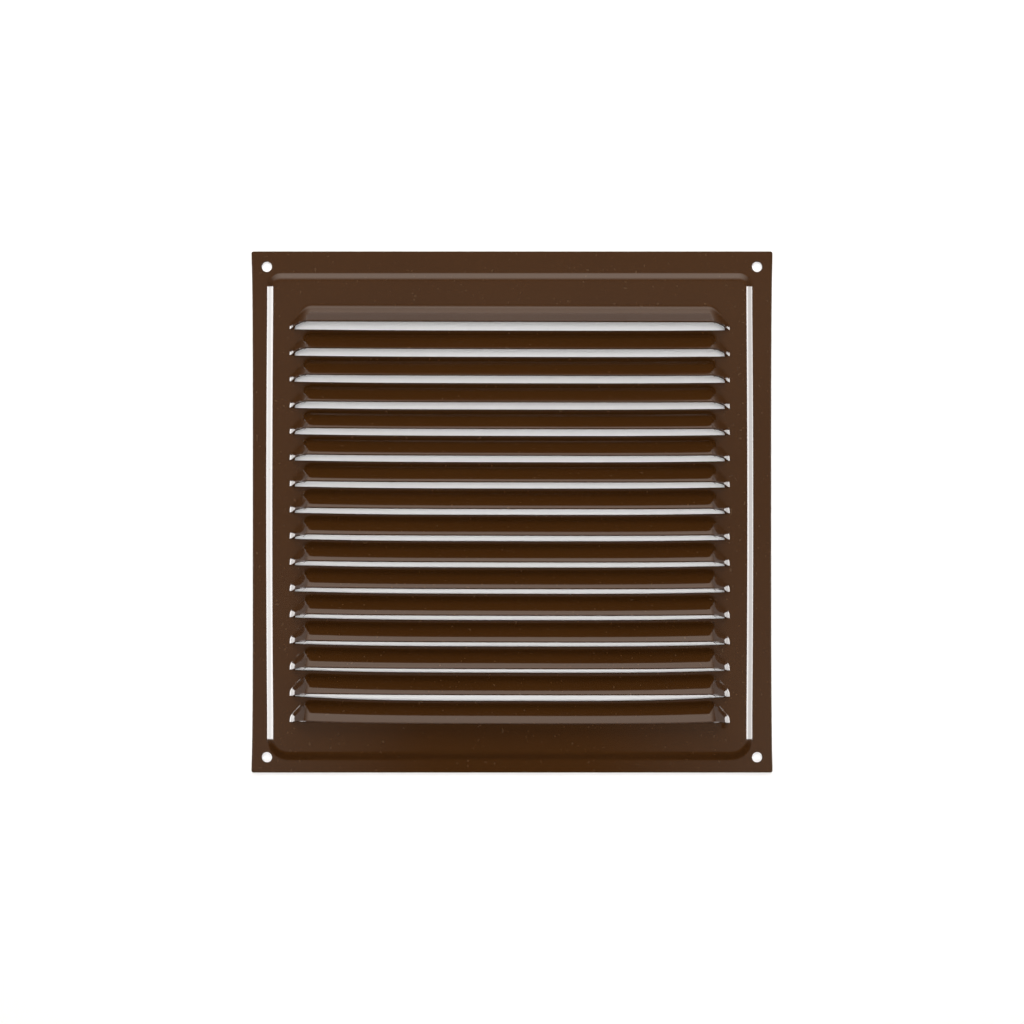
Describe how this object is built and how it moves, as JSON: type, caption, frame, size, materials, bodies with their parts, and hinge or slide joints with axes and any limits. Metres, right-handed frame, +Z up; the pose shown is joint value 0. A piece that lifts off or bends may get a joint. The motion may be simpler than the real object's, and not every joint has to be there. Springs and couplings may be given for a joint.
{
  "type": "ventilation grille",
  "caption": "Square wall ventilation grille pressed from one enamelled steel sheet: flat screw flange, raised face and a column of downward louvres.",
  "frame": {"origin": "centre of the four screw holes, on the flange's back face, which lies against the wall", "axes": "+X to the right as seen from the front, +Y into the wall, +Z up; the louvres face -Y and open downwards"},
  "size_m": [0.15, 0.0066, 0.15],
  "materials": {
    "brown_enamel": "glossy dark brown enamel on pressed steel sheet"
  },
  "bodies": {
    "root": {"louvre_panel": "brown_enamel"}
  },
  "joints": []
}
